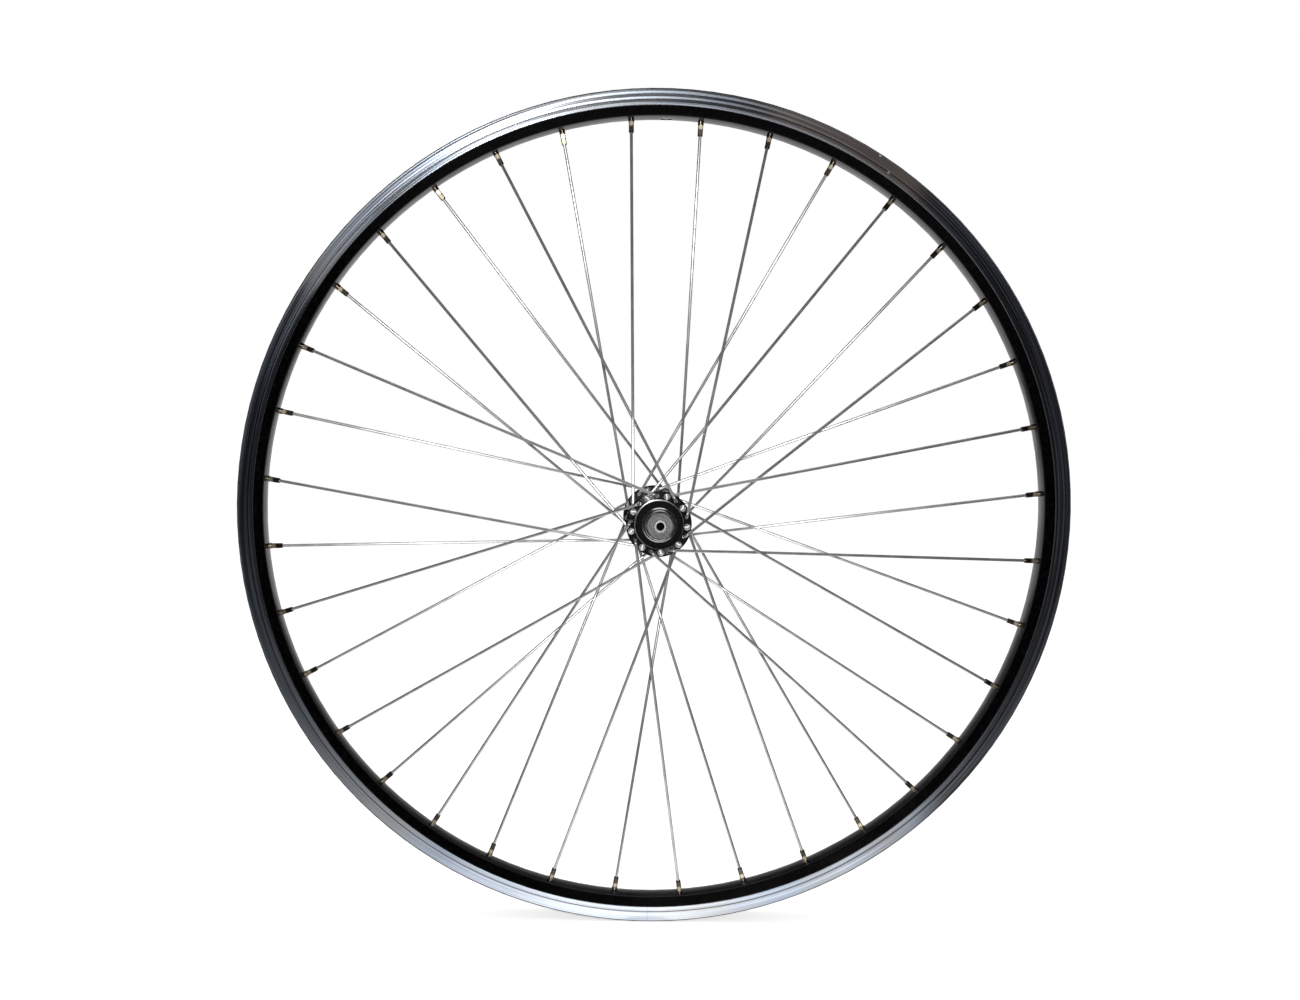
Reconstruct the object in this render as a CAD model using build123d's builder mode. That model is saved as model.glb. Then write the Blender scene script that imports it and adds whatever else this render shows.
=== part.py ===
from build123d import *
import os
from math import atan2, cos, degrees, hypot, radians, sin, tan

os.makedirs("parts", exist_ok=True)

# A 26 inch front bicycle wheel: the axle lies along Y through the origin, the valve hole is straight up
# in +Z, and left is -Y. Angles round the axle are counted in degrees from +X towards +Z.
SIDES = {"left": -1, "right": 1}

# Rim: a hooked double-wall extrusion rolled into a hoop
BEAD_SEAT_R = 279.5
LIP_HEIGHT = 6.0
RIM_WIDTH = 24.5
WIDTH_BETWEEN_HOOKS = 19.0
HOOK_HEIGHT = 2.2
HOOK_OVERHANG = 0.9
HOOK_ROUND = 0.5
LIP_ROUND = 0.6
SEAT_WIDTH = 3.0
WELL_DEPTH = 2.5
WELL_SLOPE = 1.8
BRIDGE_WALL = 1.6
RIM_DEPTH = 11.3
BED_CORNER_WIDTH = 15.0
BED_CROWN = 1.0
BED_CROWN_ROUND = 20.0
BED_ROUND = 3.0
BED_WALL = 1.9
SIDE_WALL = 1.7
CAVITY_ROUND = 1.5
TRACK_HEIGHT = 10.8
TRACK_STEP = 0.3
WEAR_GROOVE_HEIGHT = 7.3
WEAR_GROOVE_WIDTH = 0.8
WEAR_GROOVE_DEPTH = 0.4

# Drilling of the rim
VALVE_ANGLE = 90.0
VALVE_HOLE_R = 4.25
NIPPLE_HOLE_CLEARANCE = 0.2
ACCESS_HOLE_R = 4.25
SPOKE_HOLE_STAGGER = 2.0

# Lacing: three-cross, with the outermost crossing interlaced
SPOKE_COUNT = 36
CROSSES = 3
SPOKE_R = 1.0
SPOKE_HEAD_R = 2.15
SPOKE_HEAD_EDGE = 0.6
SPOKE_HEAD_DOME = 0.8
HEAD_SEAT_GAP = 0.02
ELBOW_INNER_R = 1.4
ELBOW_IN_HOLE = 0.9
CROSSING_R = 40.0
CROSSING_GAP = 0.12

# Nipples
NIPPLE_LENGTH = 14.0
NIPPLE_R = 2.0
NIPPLE_TIP_R = 1.6
NIPPLE_TIP_LENGTH = 1.2
NIPPLE_HEAD_R = 3.05
NIPPLE_HEAD_HEIGHT = 2.6
NIPPLE_HEAD_SEAT = 0.9
NIPPLE_HEAD_CROWN = 0.7
NIPPLE_SEAT_GAP = 0.35
NIPPLE_FLATS = 3.3
NIPPLE_COLLAR = 2.0
NIPPLE_SLOT_WIDTH = 1.0
NIPPLE_SLOT_DEPTH = 1.0
THREAD_GAP = 0.05

# Hub shell, which fills what the ends of the hub leave between the locknuts
OVER_LOCKNUTS = 100.0
FLANGE_THICKNESS = 3.2
FLANGE_ROUND = 1.2
SPOKE_CIRCLE_R = 19.0
FLANGE_EDGE = 3.0
SPOKE_HOLE_CLEARANCE = 0.3
SPOKE_HOLE_BEVEL = 0.4
BARREL_R = 10.5
FLARE_LENGTH = 12.9
FLARE_ROUND = 24.0
NECK_R = 14.2
NECK_LENGTH = 7.5
NECK_ROUND = 1.5
BOSS_R = 14.6
BOSS_HEIGHT = 3.6
BOSS_ROUND = 2.2
BOSS_BEVEL = 0.4
BARREL_BORE_R = 7.5

# Bearings: loose balls between a pressed cup and a screwed cone on each side
BALL_COUNT = 10
BALL_R = 2.38
BALL_CIRCLE_R = 8.3
BALL_OUTSET = 1.5
BALL_PLAY = 0.09
CUP_R = 12.2
CUP_WALL = 1.0
CUP_HOLE_R = 6.9
CUP_LIP = 2.1
PRESS_GAP = 0.02
CONE_TAIL = 2.2
CONE_STAND_OUT = 0.8
CONE_BEVEL = 0.4
CONE_FLATS = 14.0
CONE_FLATS_LENGTH = 2.4
CAP_R = 12.9
CAP_HOLE_R = 9.3
CAP_SHEET = 0.7
CAP_DEPTH = 1.3

# Axle and what is screwed on it
AXLE_STAND_OUT = 4.0
AXLE_R = 4.5
AXLE_BORE_R = 2.65
AXLE_WAIST_R = 4.1
AXLE_THREAD_LENGTH = 33.6
AXLE_END_BEVEL = 0.5
AXLE_RELIEF_WIDTH = 0.8
AXLE_RELIEF_DEPTH = 0.4
AXLE_NUT_GAP = 0.03
LOCKNUT_THICKNESS = 4.0
LOCKNUT_FLATS = 17.0
LOCKNUT_FACE_R = 8.1
WASHER_R = 10.0
WASHER_THICKNESS = 1.4
WASHER_BEVEL = 0.5

# Rubber seals, stretched over the cones and covering the ends of the hub shell
SEAL_R = 15.8
SEAL_GRIP = 0.05
SEAL_FACE_R = 10.7
SEAL_FACE_STEP = 0.9
SEAL_WALL = 1.6
SEAL_SKIRT = 1.5
SEAL_HEIGHT = 3.2
SEAL_RUNNING_GAP = 0.4
SEAL_ROUND = 0.8

# Places worked out from the sizes above
RIM_OUTER_R = BEAD_SEAT_R + LIP_HEIGHT
WELL_R = BEAD_SEAT_R - WELL_DEPTH
BED_R = BEAD_SEAT_R - RIM_DEPTH
TRACK_R = RIM_OUTER_R - TRACK_HEIGHT
GROOVE_R = RIM_OUTER_R - WEAR_GROOVE_HEIGHT
HALF_WIDTH = RIM_WIDTH / 2
HOOK_Y = WIDTH_BETWEEN_HOOKS / 2
LIP_INNER_Y = HOOK_Y + HOOK_OVERHANG
SEAT_INNER_Y = LIP_INNER_Y - SEAT_WIDTH
WELL_Y = SEAT_INNER_Y - WELL_SLOPE
BED_CORNER_Y = BED_CORNER_WIDTH / 2
BED_CORNER_R = BED_R + BED_CROWN

# Along the axle, from each locknut's face inwards to the flange
LOCKNUT_FACE_Y = OVER_LOCKNUTS / 2
LOCKNUT_BACK_Y = LOCKNUT_FACE_Y - LOCKNUT_THICKNESS
WASHER_BACK_Y = LOCKNUT_BACK_Y - WASHER_THICKNESS
SEAL_FACE_Y = WASHER_BACK_Y - CONE_STAND_OUT
SEAL_BACK_Y = SEAL_FACE_Y - SEAL_HEIGHT
BOSS_Y = SEAL_BACK_Y - SEAL_RUNNING_GAP
FLANGE_OUTER_Y = BOSS_Y - BOSS_HEIGHT
FLANGE_INNER_Y = FLANGE_OUTER_Y - FLANGE_THICKNESS
FLANGE_Y = (FLANGE_OUTER_Y + FLANGE_INNER_Y) / 2
NECK_Y = FLANGE_INNER_Y - NECK_LENGTH
AXLE_END_Y = LOCKNUT_FACE_Y + AXLE_STAND_OUT
AXLE_THREAD_Y = AXLE_END_Y - AXLE_THREAD_LENGTH

FLANGE_R = SPOKE_CIRCLE_R + FLANGE_EDGE
SPOKE_HOLE_R = SPOKE_R + SPOKE_HOLE_CLEARANCE
ELBOW_R = SPOKE_R + ELBOW_INNER_R
HUB_PITCH = 720 / SPOKE_COUNT
RIM_PITCH = 360 / SPOKE_COUNT

BALL_Y = FLANGE_Y + BALL_OUTSET
RACE_R = BALL_R + BALL_PLAY
CUP_BACK_Y = BALL_Y - RACE_R - CUP_WALL
CUP_FRONT_Y = BALL_Y + CUP_LIP
CAP_SEAT_Y = BOSS_Y - CAP_DEPTH
CONE_R = BALL_CIRCLE_R
CONE_FLOOR_R = BALL_CIRCLE_R - RACE_R
NUT_BORE_R = AXLE_R + AXLE_NUT_GAP


def round_the_axle(radius, angle, y):
    """The point at this radius and angle round the axle, at this height along it."""
    return Vector(radius * cos(radians(angle)), y, radius * sin(radians(angle)))


def turned(angle):
    """A turn of the whole wheel by this angle, from +X towards +Z."""
    return Location((0, 0, 0), (0, -angle, 0))


def spoke_points(rim_angle, side, trailing):
    """The corners of a spoke's centre line: head seat, elbow, outermost crossing and rim hole.

    Trailing spokes have their heads outside the flange and lie on its inner face. Leading spokes have
    their heads inside, lie on the outer face, and pass behind a trailing spoke at the last crossing.
    """
    lean = 1 if trailing else -1
    hub_angle = rim_angle + lean * CROSSES * HUB_PITCH
    rim_hole = round_the_axle(BED_R, rim_angle, side * SPOKE_HOLE_STAGGER)

    # In the plane of the wheel a spoke is straight, and meets its partner on the line between the two
    hub_side = SPOKE_CIRCLE_R * sin(radians((CROSSES - 0.5) * HUB_PITCH))
    rim_side = BED_R * sin(radians(HUB_PITCH / 2))
    share = hub_side / (hub_side + rim_side)

    # An elbow starts a little inside its hole, and its corner stands off the flange by the rest of the bend
    run = share * (rim_hole - round_the_axle(SPOKE_CIRCLE_R, hub_angle, rim_hole.Y)).length
    crossing_y = FLANGE_Y * (1 - share) + SPOKE_HOLE_STAGGER * share + lean * (SPOKE_R + CROSSING_GAP / 2)
    face_y = FLANGE_INNER_Y - ELBOW_R if trailing else FLANGE_OUTER_Y + ELBOW_R
    bend = 90 - lean * degrees(atan2(face_y - crossing_y, run))
    stand_off = ELBOW_R * tan(radians(bend / 2)) - ELBOW_IN_HOLE
    elbow_y = FLANGE_INNER_Y - stand_off if trailing else FLANGE_OUTER_Y + stand_off

    head_y = FLANGE_OUTER_Y + HEAD_SEAT_GAP if trailing else FLANGE_INNER_Y - HEAD_SEAT_GAP
    head = round_the_axle(SPOKE_CIRCLE_R, hub_angle, side * head_y)
    elbow = round_the_axle(SPOKE_CIRCLE_R, hub_angle, side * elbow_y)
    crossing = elbow + (rim_hole - elbow) * share
    crossing.Y = side * crossing_y
    return head, elbow, crossing, rim_hole


# The four kinds of spoke repeat round the wheel: left and right trailing, then left and right leading
KINDS = [("left", True), ("right", True), ("left", False), ("right", False)]
REPEAT_ANGLE = len(KINDS) * RIM_PITCH
kind_points = []
nipple_planes = []
for number, (side_name, trailing) in enumerate(KINDS):
    first_angle = VALVE_ANGLE + (number + 0.5) * RIM_PITCH
    points = spoke_points(first_angle, SIDES[side_name], trailing)
    kind_points.append(points)
    nipple_planes.append(Plane(origin=points[3], x_dir=(0, 1, 0), z_dir=points[3] - points[2]))
turns = [turned(REPEAT_ANGLE * step) for step in range(SPOKE_COUNT // len(KINDS))]
nipple_places = [turn * plane.location for turn in turns for plane in nipple_planes]

# Rim: half of its section is drawn and mirrored, with the closed cavity between the bed and the bridge
side_slope = (HALF_WIDTH - TRACK_STEP - BED_CORNER_Y) / (TRACK_R - BED_CORNER_R)
side_wall_y = SIDE_WALL * hypot(1, side_slope)
cavity_r = BED_R + BED_WALL
cavity_corner_y = BED_CORNER_Y + side_slope * (cavity_r - BED_CORNER_R) - side_wall_y
cavity_side_y = HALF_WIDTH - TRACK_STEP - side_wall_y
with BuildPart() as rim:
    with BuildSketch(Plane.XY):
        with BuildLine():
            FilletPolyline(
                (BED_R, 0),
                (BED_R, BED_CORNER_Y / 2),
                (BED_CORNER_R, BED_CORNER_Y),
                (TRACK_R, HALF_WIDTH - TRACK_STEP),
                (TRACK_R + TRACK_STEP, HALF_WIDTH),
                (GROOVE_R - WEAR_GROOVE_WIDTH / 2, HALF_WIDTH),
                (GROOVE_R - WEAR_GROOVE_WIDTH / 4, HALF_WIDTH - WEAR_GROOVE_DEPTH),
                (GROOVE_R + WEAR_GROOVE_WIDTH / 4, HALF_WIDTH - WEAR_GROOVE_DEPTH),
                (GROOVE_R + WEAR_GROOVE_WIDTH / 2, HALF_WIDTH),
                (RIM_OUTER_R, HALF_WIDTH),
                (RIM_OUTER_R, HOOK_Y),
                (RIM_OUTER_R - HOOK_HEIGHT, HOOK_Y),
                (RIM_OUTER_R - HOOK_HEIGHT - HOOK_OVERHANG, LIP_INNER_Y),
                (BEAD_SEAT_R, LIP_INNER_Y),
                (BEAD_SEAT_R, SEAT_INNER_Y),
                (WELL_R, WELL_Y),
                (WELL_R, 0),
                radius=[
                    BED_CROWN_ROUND, BED_ROUND, 0, 0, 0, 0, 0, 0,
                    LIP_ROUND, HOOK_ROUND, HOOK_ROUND, 0, 0, 0, 0,
                ],
            )
            mirror(about=Plane.XZ)
        make_face()
        with BuildLine():
            FilletPolyline(
                (cavity_r, 0),
                (cavity_r, cavity_corner_y),
                (TRACK_R, cavity_side_y),
                (BEAD_SEAT_R - BRIDGE_WALL, cavity_side_y),
                (BEAD_SEAT_R - BRIDGE_WALL, SEAT_INNER_Y),
                (WELL_R - BRIDGE_WALL, WELL_Y),
                (WELL_R - BRIDGE_WALL, 0),
                radius=[CAVITY_ROUND, 0, 0, 0, 0],
            )
            mirror(about=Plane.XZ)
        make_face(mode=Mode.SUBTRACT)
    revolve(axis=Axis.Y)
    # One stepped drill goes through both walls: a nipple hole in the bed, a wider access hole in the bridge
    with Locations(*nipple_places):
        Cylinder(NIPPLE_R + NIPPLE_HOLE_CLEARANCE, RIM_DEPTH, mode=Mode.SUBTRACT)
    with Locations(*[place * Pos(Z=BED_WALL + ACCESS_HOLE_R) for place in nipple_places]):
        Cylinder(
            ACCESS_HOLE_R, RIM_DEPTH,
            align=(Align.CENTER, Align.CENTER, Align.MIN), mode=Mode.SUBTRACT,
        )
    valve_seat = round_the_axle(BED_R, VALVE_ANGLE, 0)
    with Locations(Plane(origin=valve_seat, x_dir=(0, 1, 0), z_dir=valve_seat)):
        Cylinder(VALVE_HOLE_R, 2 * RIM_DEPTH, mode=Mode.SUBTRACT)
rim.part.label = "rim"
export_step(rim.part, "parts/rim.step")

# Nipples: turned from brass, with a slotted head inside the rim and a square for the spoke key
nipple_seat_z = BED_WALL + NIPPLE_SEAT_GAP
nipple_top_z = nipple_seat_z + NIPPLE_HEAD_HEIGHT
nipple_tip_z = nipple_top_z - NIPPLE_LENGTH
nipple_bore_r = SPOKE_R + THREAD_GAP
with BuildPart() as nipple:
    with BuildSketch(Plane.XZ):
        with BuildLine():
            Polyline(
                (nipple_bore_r, nipple_tip_z),
                (NIPPLE_TIP_R, nipple_tip_z),
                (NIPPLE_R, nipple_tip_z + NIPPLE_TIP_LENGTH),
                (NIPPLE_R, nipple_seat_z),
                (NIPPLE_HEAD_R, nipple_seat_z + NIPPLE_HEAD_SEAT),
                (NIPPLE_HEAD_R, nipple_top_z - NIPPLE_HEAD_CROWN),
                (NIPPLE_HEAD_R - NIPPLE_HEAD_CROWN, nipple_top_z),
                (nipple_bore_r, nipple_top_z),
                close=True,
            )
        make_face()
    revolve(axis=Axis.Z)
    with BuildSketch(Plane.XY.offset(-NIPPLE_COLLAR)):
        Circle(2 * NIPPLE_R)
        Rectangle(NIPPLE_FLATS, NIPPLE_FLATS, mode=Mode.SUBTRACT)
    extrude(amount=nipple_tip_z + NIPPLE_COLLAR, mode=Mode.SUBTRACT)
    with BuildSketch(Plane.XY.offset(nipple_top_z)):
        Rectangle(3 * NIPPLE_HEAD_R, NIPPLE_SLOT_WIDTH)
    extrude(amount=-NIPPLE_SLOT_DEPTH, mode=Mode.SUBTRACT)

with BuildPart() as spoke_nipples:
    with Locations(*nipple_places):
        add(nipple.part)
spoke_nipples.part.label = "spoke_nipples"
export_step(spoke_nipples.part, "parts/spoke_nipples.step")

# Spokes: straight-gauge wire, headed and bent at the hub, sprung over its partner at the last crossing
for number, (side_name, trailing) in enumerate(KINDS):
    head, elbow, crossing, rim_hole = kind_points[number]
    along = (rim_hole - crossing).normalized()
    end = rim_hole + along * (nipple_top_z - NIPPLE_SLOT_DEPTH)
    through_flange = (elbow - head).normalized()
    with BuildPart() as spoke_kind:
        with BuildLine() as wire:
            FilletPolyline(head, elbow, crossing, end, radius=[ELBOW_R, CROSSING_R])
        with BuildSketch(Plane(origin=head, z_dir=through_flange)):
            Circle(SPOKE_R)
        sweep(path=wire.line)
        # The head is upset from the wire: a short rim and a low dome
        with BuildSketch(Plane(origin=head, x_dir=(0, 0, -1), z_dir=(1, 0, 0))):
            with BuildLine():
                outward = -through_flange.Y
                rim_end = (SPOKE_HEAD_R, outward * SPOKE_HEAD_EDGE)
                crown = (0, outward * (SPOKE_HEAD_EDGE + SPOKE_HEAD_DOME))
                Polyline(crown, (0, 0), (SPOKE_HEAD_R, 0), rim_end)
                TangentArc(crown, rim_end, tangent=(1, 0))
            make_face()
        revolve(axis=Axis(origin=head, direction=(0, 1, 0)))
    for step, turn in enumerate(turns):
        with BuildPart() as spoke:
            with Locations(turn):
                add(spoke_kind.part)
        spoke_name = f"spoke_{len(KINDS) * step + number + 1:02d}"
        spoke.part.label = spoke_name
        export_step(spoke.part, f"parts/{spoke_name}.step")

# Hub shell: one turned aluminium piece with both flanges, bored for the cups and drilled for the spokes
with BuildPart() as hub_shell:
    with BuildSketch(Plane.XY):
        with BuildLine():
            FilletPolyline(
                (BARREL_R, 0),
                (BARREL_R, NECK_Y - FLARE_LENGTH),
                (NECK_R, NECK_Y),
                (NECK_R, FLANGE_INNER_Y),
                (FLANGE_R, FLANGE_INNER_Y),
                (FLANGE_R, FLANGE_OUTER_Y),
                (BOSS_R, FLANGE_OUTER_Y),
                (BOSS_R, BOSS_Y - BOSS_BEVEL),
                (BOSS_R - BOSS_BEVEL, BOSS_Y),
                (CAP_R, BOSS_Y),
                (CAP_R, CAP_SEAT_Y),
                (CUP_R, CAP_SEAT_Y),
                (CUP_R, CUP_BACK_Y),
                (BARREL_BORE_R, CUP_BACK_Y),
                (BARREL_BORE_R, 0),
                radius=[
                    FLARE_ROUND, FLARE_ROUND, NECK_ROUND, FLANGE_ROUND, FLANGE_ROUND, BOSS_ROUND,
                    0, 0, 0, 0, 0, 0, 0,
                ],
            )
            mirror(about=Plane.XZ)
        make_face()
    revolve(axis=Axis.Y)
    flange_holes = []
    for points, (side_name, trailing) in zip(kind_points, KINDS):
        centre = Vector(points[0].X, SIDES[side_name] * FLANGE_Y, points[0].Z)
        flange_holes.append(Plane(origin=centre, x_dir=(1, 0, 0), z_dir=(0, 1, 0)).location)
    with Locations(*[turn * hole for turn in turns for hole in flange_holes]):
        Cylinder(SPOKE_HOLE_R, 2 * FLANGE_THICKNESS, mode=Mode.SUBTRACT)
    hole_edges = hub_shell.edges().filter_by(GeomType.CIRCLE)
    chamfer(hole_edges.filter_by(lambda edge: edge.radius < 1.01 * SPOKE_HOLE_R), SPOKE_HOLE_BEVEL)
hub_shell.part.label = "hub_shell"
export_step(hub_shell.part, "parts/hub_shell.step")

# Axle: a hollow steel rod for a quick-release skewer, threaded outside its plain waist
with BuildPart() as axle:
    with BuildSketch(Plane.XY):
        with BuildLine():
            Polyline(
                (AXLE_WAIST_R, 0),
                (AXLE_WAIST_R, AXLE_THREAD_Y - (AXLE_R - AXLE_WAIST_R)),
                (AXLE_R, AXLE_THREAD_Y),
                (AXLE_R, LOCKNUT_FACE_Y - AXLE_RELIEF_WIDTH),
                (AXLE_R - AXLE_RELIEF_DEPTH, LOCKNUT_FACE_Y - AXLE_RELIEF_WIDTH),
                (AXLE_R - AXLE_RELIEF_DEPTH, LOCKNUT_FACE_Y),
                (AXLE_R, LOCKNUT_FACE_Y),
                (AXLE_R, AXLE_END_Y - AXLE_END_BEVEL),
                (AXLE_R - AXLE_END_BEVEL, AXLE_END_Y),
                (AXLE_BORE_R, AXLE_END_Y),
                (AXLE_BORE_R, 0),
            )
            mirror(about=Plane.XZ)
        make_face()
    revolve(axis=Axis.Y)
axle.part.label = "axle"
export_step(axle.part, "parts/axle.step")

# Each end of the hub, from the bearing outwards: out counts along the axle, away from the middle
for side_name, out in SIDES.items():
    # Hardened cup with a quarter-round race, pressed into the shell
    with BuildPart() as bearing_cup:
        with BuildSketch(Plane.XY):
            with BuildLine():
                race_top = (BALL_CIRCLE_R + RACE_R, out * BALL_Y)
                race_back = (BALL_CIRCLE_R, out * (BALL_Y - RACE_R))
                TangentArc(race_top, race_back, tangent=(0, -out))
                Polyline(
                    race_back,
                    (CUP_HOLE_R, out * (BALL_Y - RACE_R)),
                    (CUP_HOLE_R, out * CUP_BACK_Y),
                    (CUP_R - PRESS_GAP, out * CUP_BACK_Y),
                    (CUP_R - PRESS_GAP, out * CUP_FRONT_Y),
                    (BALL_CIRCLE_R + RACE_R, out * CUP_FRONT_Y),
                    race_top,
                )
            make_face()
        revolve(axis=Axis.Y)
    bearing_cup.part.label = f"{side_name}_bearing_cup"
    export_step(bearing_cup.part, f"parts/{side_name}_bearing_cup.step")

    # Loose balls, evenly spaced round the axle
    with BuildPart() as bearing_balls:
        ball_angles = [360 / BALL_COUNT * step for step in range(BALL_COUNT)]
        with Locations(*[round_the_axle(BALL_CIRCLE_R, angle, out * BALL_Y) for angle in ball_angles]):
            Sphere(BALL_R)
    bearing_balls.part.label = f"{side_name}_bearing_balls"
    export_step(bearing_balls.part, f"parts/{side_name}_bearing_balls.step")

    # Cone screwed on the axle, with a race on its inner end and two flats for a thin spanner
    with BuildPart() as cone:
        with BuildSketch(Plane.XY):
            with BuildLine():
                race_floor = (CONE_FLOOR_R, out * BALL_Y)
                race_front = (BALL_CIRCLE_R, out * (BALL_Y + RACE_R))
                TangentArc(race_floor, race_front, tangent=(0, out))
                Polyline(
                    race_front,
                    (CONE_R, out * WASHER_BACK_Y),
                    (NUT_BORE_R, out * WASHER_BACK_Y),
                    (NUT_BORE_R, out * (BALL_Y - CONE_TAIL)),
                    (CONE_FLOOR_R - CONE_BEVEL, out * (BALL_Y - CONE_TAIL)),
                    (CONE_FLOOR_R, out * (BALL_Y - CONE_TAIL + CONE_BEVEL)),
                    race_floor,
                )
            make_face()
        revolve(axis=Axis.Y)
        with BuildSketch(Plane(origin=(0, out * WASHER_BACK_Y, 0), x_dir=(1, 0, 0), z_dir=(0, out, 0))):
            Circle(2 * CONE_R)
            Rectangle(CONE_FLATS, 4 * CONE_R, mode=Mode.SUBTRACT)
        extrude(amount=-CONE_FLATS_LENGTH, mode=Mode.SUBTRACT)
    cone.part.label = f"{side_name}_cone"
    export_step(cone.part, f"parts/{side_name}_cone.step")

    # Pressed sheet-steel cap that closes the shell around the cone
    with BuildPart() as dust_cap:
        with BuildSketch(Plane.XY):
            with BuildLine():
                Polyline(
                    (CAP_HOLE_R, out * BOSS_Y),
                    (CAP_R - PRESS_GAP, out * BOSS_Y),
                    (CAP_R - PRESS_GAP, out * CAP_SEAT_Y),
                    (CAP_R - PRESS_GAP - CAP_SHEET, out * CAP_SEAT_Y),
                    (CAP_R - PRESS_GAP - CAP_SHEET, out * (BOSS_Y - CAP_SHEET)),
                    (CAP_HOLE_R, out * (BOSS_Y - CAP_SHEET)),
                    close=True,
                )
            make_face()
        revolve(axis=Axis.Y)
    dust_cap.part.label = f"{side_name}_dust_cap"
    export_step(dust_cap.part, f"parts/{side_name}_dust_cap.step")

    # Rubber seal: a stepped disc that grips the cone, with a skirt just clear of the turning shell
    seal_rim_y = SEAL_FACE_Y - SEAL_FACE_STEP
    with BuildPart() as rubber_seal:
        with BuildSketch(Plane.XY):
            with BuildLine():
                FilletPolyline(
                    (CONE_R + SEAL_GRIP, out * SEAL_FACE_Y),
                    (SEAL_FACE_R, out * SEAL_FACE_Y),
                    (SEAL_FACE_R + SEAL_FACE_STEP, out * seal_rim_y),
                    (SEAL_R, out * seal_rim_y),
                    (SEAL_R, out * SEAL_BACK_Y),
                    (SEAL_R - SEAL_SKIRT, out * SEAL_BACK_Y),
                    (SEAL_R - SEAL_SKIRT, out * (seal_rim_y - SEAL_WALL)),
                    (CONE_R + SEAL_GRIP, out * (seal_rim_y - SEAL_WALL)),
                    (CONE_R + SEAL_GRIP, out * SEAL_FACE_Y),
                    radius=[0, 0, 0, SEAL_ROUND, 0, 0, 0, 0],
                )
            make_face()
        revolve(axis=Axis.Y)
    rubber_seal.part.label = f"{side_name}_rubber_seal"
    export_step(rubber_seal.part, f"parts/{side_name}_rubber_seal.step")

    # Washer between the cone and its locknut
    with BuildPart() as lock_washer:
        with BuildSketch(Plane.XY):
            with BuildLine():
                Polyline(
                    (NUT_BORE_R, out * WASHER_BACK_Y),
                    (WASHER_R, out * WASHER_BACK_Y),
                    (WASHER_R, out * (LOCKNUT_BACK_Y - WASHER_BEVEL)),
                    (WASHER_R - WASHER_BEVEL, out * LOCKNUT_BACK_Y),
                    (NUT_BORE_R, out * LOCKNUT_BACK_Y),
                    close=True,
                )
            make_face()
        revolve(axis=Axis.Y)
    lock_washer.part.label = f"{side_name}_lock_washer"
    export_step(lock_washer.part, f"parts/{side_name}_lock_washer.step")

    # Hexagon locknut whose corners are turned back to a round face that bears on the fork end
    locknut_corner_r = LOCKNUT_FLATS / 2 / cos(radians(30))
    corner_drop = (locknut_corner_r - LOCKNUT_FACE_R) * tan(radians(30))
    with BuildPart() as locknut:
        with BuildSketch(Plane(origin=(0, out * LOCKNUT_BACK_Y, 0), x_dir=(1, 0, 0), z_dir=(0, out, 0))):
            RegularPolygon(LOCKNUT_FLATS / 2, 6, major_radius=False)
            Circle(NUT_BORE_R, mode=Mode.SUBTRACT)
        extrude(amount=LOCKNUT_THICKNESS)
        with BuildSketch(Plane.XY):
            with BuildLine():
                Polyline(
                    (0, out * LOCKNUT_BACK_Y),
                    (locknut_corner_r, out * LOCKNUT_BACK_Y),
                    (locknut_corner_r, out * (LOCKNUT_FACE_Y - corner_drop)),
                    (LOCKNUT_FACE_R, out * LOCKNUT_FACE_Y),
                    (0, out * LOCKNUT_FACE_Y),
                    close=True,
                )
            make_face()
        revolve(axis=Axis.Y, mode=Mode.INTERSECT)
    locknut.part.label = f"{side_name}_locknut"
    export_step(locknut.part, f"parts/{side_name}_locknut.step")
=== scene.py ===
from math import cos, pi, radians, sin

import bpy
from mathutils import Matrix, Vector


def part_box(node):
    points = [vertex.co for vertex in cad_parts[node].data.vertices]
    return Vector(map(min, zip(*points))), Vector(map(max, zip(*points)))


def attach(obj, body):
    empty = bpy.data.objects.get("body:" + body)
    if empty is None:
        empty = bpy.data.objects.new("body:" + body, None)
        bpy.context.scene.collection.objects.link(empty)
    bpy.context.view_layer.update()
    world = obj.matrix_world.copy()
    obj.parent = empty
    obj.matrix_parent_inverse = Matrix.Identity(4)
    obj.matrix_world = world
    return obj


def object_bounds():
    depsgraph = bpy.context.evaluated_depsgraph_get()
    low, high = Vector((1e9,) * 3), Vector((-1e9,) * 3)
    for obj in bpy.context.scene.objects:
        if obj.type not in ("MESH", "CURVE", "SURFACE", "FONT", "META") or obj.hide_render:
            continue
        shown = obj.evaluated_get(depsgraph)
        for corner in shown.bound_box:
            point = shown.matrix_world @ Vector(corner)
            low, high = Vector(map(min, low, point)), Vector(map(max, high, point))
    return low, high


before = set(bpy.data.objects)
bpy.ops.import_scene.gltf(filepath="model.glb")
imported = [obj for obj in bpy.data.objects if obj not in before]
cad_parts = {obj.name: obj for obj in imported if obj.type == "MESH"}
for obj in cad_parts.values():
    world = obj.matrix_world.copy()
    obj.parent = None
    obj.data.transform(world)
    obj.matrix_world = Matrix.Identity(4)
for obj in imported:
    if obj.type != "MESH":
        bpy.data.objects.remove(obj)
cad_low, cad_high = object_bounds()

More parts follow.
